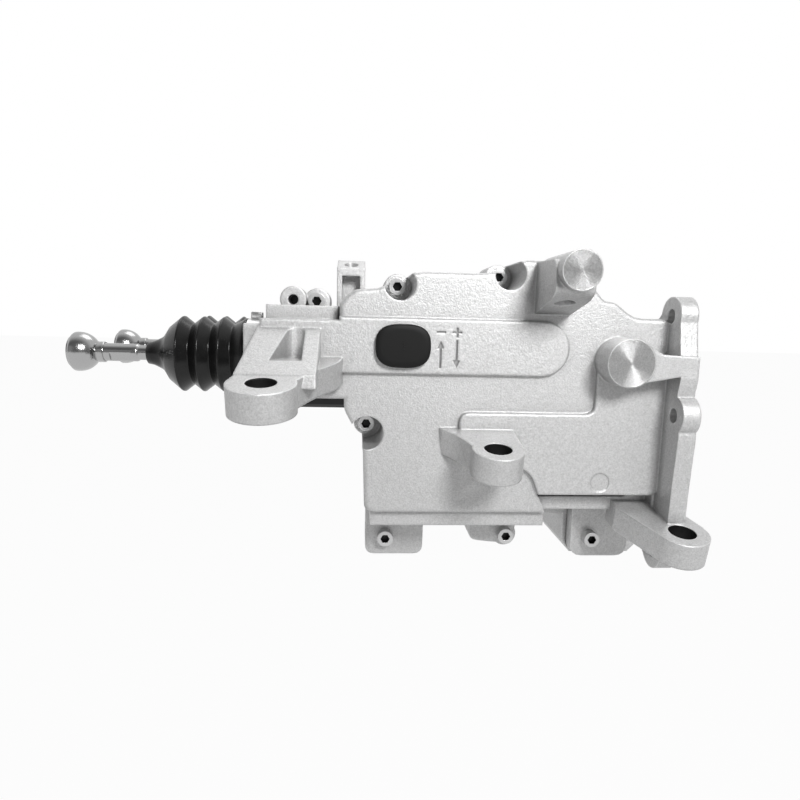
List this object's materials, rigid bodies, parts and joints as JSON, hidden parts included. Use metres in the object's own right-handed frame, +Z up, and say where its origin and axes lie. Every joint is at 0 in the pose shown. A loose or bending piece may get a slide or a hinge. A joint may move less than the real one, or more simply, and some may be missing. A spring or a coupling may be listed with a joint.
{
  "type": "clutch actuator",
  "caption": "Twin clutch actuator: die-cast casing with bolt ears and flange, and ball-ended push rods in rubber boots on its left side.",
  "frame": {"origin": "middle of the left ear's bolt hole, on the ear's upper face", "axes": "+X from the push rods towards the bolt flange, +Y from the front face of the casing to its rear housing, +Z up"},
  "size_m": [0.3585, 0.1846, 0.1903],
  "materials": {
    "casting": "blasted die casting",
    "steel": "machined",
    "screw_steel": "zinc plated",
    "boot_rubber": "satin black",
    "plug_rubber": "matte black",
    "gasket_fibre": "matte",
    "gear_plastic": "moulded",
    "bronze": "sintered bearing bronze",
    "connector_plastic": "moulded black",
    "board_green": "lacquered",
    "capacitor": "sleeved can",
    "contact": "plated"
  },
  "bodies": {
    "casing": {"front_casing": "casting", "casing_gasket": "gasket_fibre", "rear_housing": "casting", "front_guide_bush": "bronze", "rear_guide_bush": "bronze", "front_boot": "boot_rubber", "rear_boot": "boot_rubber", "front_boot_clamp": "steel", "rear_boot_clamp": "steel", "front_screw_bearing": "steel", "rear_screw_bearing": "steel", "front_motor_case": "steel", "rear_motor_case": "steel", "bearing_carrier": "casting", "front_idler_pin": "steel", "rear_idler_pin": "steel", "casing_screws": "screw_steel", "control_board": "board_green", "board_screws": "screw_steel", "board_capacitors": "capacitor", "connector_shell": "connector_plastic", "connector_pins": "contact"},
    "plug": {"adjuster_plug": "plug_rubber"},
    "front_rod": {"front_push_rod": "steel", "front_push_tube": "steel", "front_screw_nut": "bronze"},
    "front_screw": {"front_lead_screw": "steel", "front_screw_gear": "gear_plastic", "front_adjuster_wheel": "gear_plastic"},
    "front_idler": {"front_idler_gear": "gear_plastic"},
    "front_rotor": {"front_motor_rotor": "steel", "front_motor_pinion": "gear_plastic"},
    "rear_rod": {"rear_push_rod": "steel", "rear_push_tube": "steel", "rear_screw_nut": "bronze"},
    "rear_screw": {"rear_lead_screw": "steel", "rear_screw_gear": "gear_plastic"},
    "rear_idler": {"rear_idler_gear": "gear_plastic"},
    "rear_rotor": {"rear_motor_rotor": "steel", "rear_motor_pinion": "gear_plastic"}
  },
  "joints": [
    {"name": "front_rod_slide", "type": "slide", "parent": "casing", "child": "front_rod", "axis": [-1, 0, 0], "range_m": [0, 0.025], "deforming": ["front_boot"]},
    {"name": "front_screw_turn", "type": "hinge", "parent": "casing", "child": "front_screw", "pos_m": [0.1, 0.07, 0.00815], "axis": [1, 0, 0], "range_deg": [0, 900]},
    {"name": "front_idler_turn", "type": "hinge", "parent": "casing", "child": "front_idler", "pos_m": [0.115, 0.076, -0.0276], "axis": [-1, 0, 0], "range_deg": [0, 731.25]},
    {"name": "front_motor_turn", "type": "hinge", "parent": "casing", "child": "front_rotor", "pos_m": [0.08, 0.076, -0.0551], "axis": [1, 0, 0], "range_deg": [0, 1950]},
    {"name": "rear_rod_slide", "type": "slide", "parent": "casing", "child": "rear_rod", "axis": [-1, 0, 0], "range_m": [0, 0.025], "deforming": ["rear_boot"]},
    {"name": "rear_screw_turn", "type": "hinge", "parent": "casing", "child": "rear_screw", "pos_m": [0.1, 0.128, 0.00815], "axis": [1, 0, 0], "range_deg": [0, 900]},
    {"name": "rear_idler_turn", "type": "hinge", "parent": "casing", "child": "rear_idler", "pos_m": [0.115, 0.122, -0.0276], "axis": [-1, 0, 0], "range_deg": [0, 731.25]},
    {"name": "rear_motor_turn", "type": "hinge", "parent": "casing", "child": "rear_rotor", "pos_m": [0.08, 0.122, -0.0551], "axis": [1, 0, 0], "range_deg": [0, 1950]},
    {"name": "plug_pull", "type": "slide", "parent": "casing", "child": "plug", "axis": [0, -1, 0], "range_m": [0, 0.015]}
  ],
  "couplings": [
    {"joint": "front_screw_turn", "follows": "front_rod_slide", "rad_per_m": 628.32},
    {"joint": "front_idler_turn", "follows": "front_rod_slide", "rad_per_m": 510.51},
    {"joint": "front_motor_turn", "follows": "front_rod_slide", "rad_per_m": 1361.4},
    {"joint": "rear_screw_turn", "follows": "rear_rod_slide", "rad_per_m": 628.32},
    {"joint": "rear_idler_turn", "follows": "rear_rod_slide", "rad_per_m": 510.51},
    {"joint": "rear_motor_turn", "follows": "rear_rod_slide", "rad_per_m": 1361.4}
  ]
}
